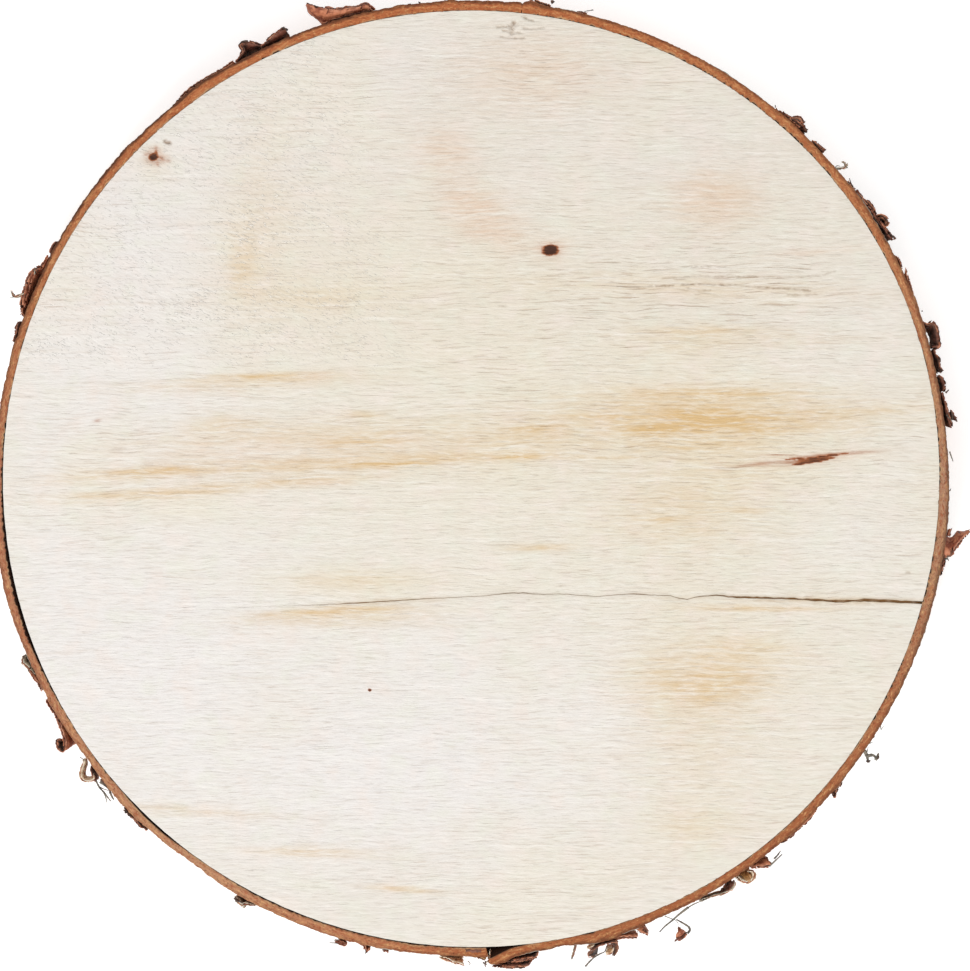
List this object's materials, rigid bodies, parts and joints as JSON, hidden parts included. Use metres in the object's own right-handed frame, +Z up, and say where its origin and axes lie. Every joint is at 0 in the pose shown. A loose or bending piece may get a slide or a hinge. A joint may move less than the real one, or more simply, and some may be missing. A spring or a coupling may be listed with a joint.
{
  "type": "birch wood slice",
  "caption": "Round slice sawn across a birch log, with a drying check, a broken ring of bark and curling strips of outer bark. It lies flat as a trivet, plate or display base.",
  "frame": {"origin": "centre of the lower sawn face", "axes": "+Z up through the slice's thickness, +X along the drying check towards its open end at the bark"},
  "size_m": [0.3064, 0.3065, 0.025],
  "materials": {
    "sawn_wood": "sawn, matt, pale cream with tan stains",
    "bark_edge": "rough, matt, reddish brown",
    "peeling_bark": "papery, matt, dark brown outside and reddish inside"
  },
  "bodies": {
    "root": {"wood_disc": "sawn_wood", "bark_left": "bark_edge", "bark_right": "bark_edge", "strip_east_low": "peeling_bark", "curl_east_low": "peeling_bark", "strip_east_mid": "peeling_bark", "scroll_east": "peeling_bark", "sliver_east": "peeling_bark", "strip_northeast": "peeling_bark", "scroll_northeast": "peeling_bark", "hook_northeast": "peeling_bark", "flake_northeast": "peeling_bark", "flake_northeast_low": "peeling_bark", "flake_northeast_high": "peeling_bark", "layer_north": "peeling_bark", "leaf_north": "peeling_bark", "strip_northwest": "peeling_bark", "leaf_northwest": "peeling_bark", "layer_northwest": "peeling_bark", "scroll_west": "peeling_bark", "hook_west": "peeling_bark", "flake_southwest": "peeling_bark", "curl_southwest": "peeling_bark", "loop_southwest": "peeling_bark", "flake_south_southwest": "peeling_bark", "flake_south": "peeling_bark", "sheet_south_inner": "peeling_bark", "sheet_south_outer": "peeling_bark", "layer_south_southeast": "peeling_bark", "scroll_south_southeast": "peeling_bark", "strip_southeast": "peeling_bark", "loop_southeast": "peeling_bark", "flake_southeast": "peeling_bark", "flake_east_southeast": "peeling_bark", "leaf_east": "peeling_bark"}
  },
  "joints": []
}
